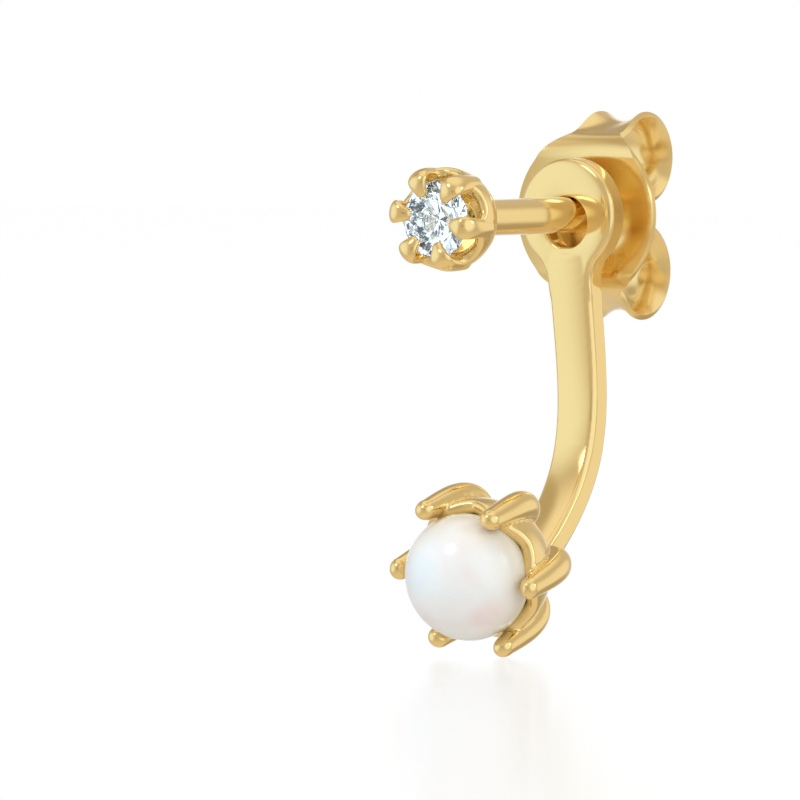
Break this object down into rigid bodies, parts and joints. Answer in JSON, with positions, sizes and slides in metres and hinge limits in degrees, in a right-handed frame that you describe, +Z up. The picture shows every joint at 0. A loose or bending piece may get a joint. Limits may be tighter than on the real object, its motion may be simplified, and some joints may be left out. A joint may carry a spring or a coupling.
{
  "type": "ear jacket earring",
  "caption": "Ear jacket earring: claw-set round stone stud, a hanging curved jacket with a claw-set pearl, and a butterfly clutch on the post",
  "frame": {"origin": "on the post's axis, in the middle of the ear lobe", "axes": "+Z is up as worn, -Y is towards the wearer's front (the stone), and the post runs along Y with its tail towards +Y"},
  "size_m": [0.0052, 0.0111, 0.0157],
  "materials": {
    "gold_plate": "warm yellow gold plate, mirror polished",
    "clear_stone": "colourless, faceted and polished",
    "nacre": "white pearl with soft lustre"
  },
  "bodies": {
    "stud": {"claw_stud": "gold_plate", "round_stone": "clear_stone"},
    "jacket_drop": {"jacket": "gold_plate", "pearl": "nacre"},
    "clutch": {"butterfly_clutch": "gold_plate"}
  },
  "joints": [
    {"name": "jacket_swing", "type": "hinge", "parent": "stud", "child": "jacket_drop", "pos_m": [0, 0, 0], "axis": [0, 1, 0], "continuous": true},
    {"name": "clutch_slide", "type": "slide", "parent": "stud", "child": "clutch", "axis": [0, 1, 0], "range_m": [0, 0.003]}
  ]
}
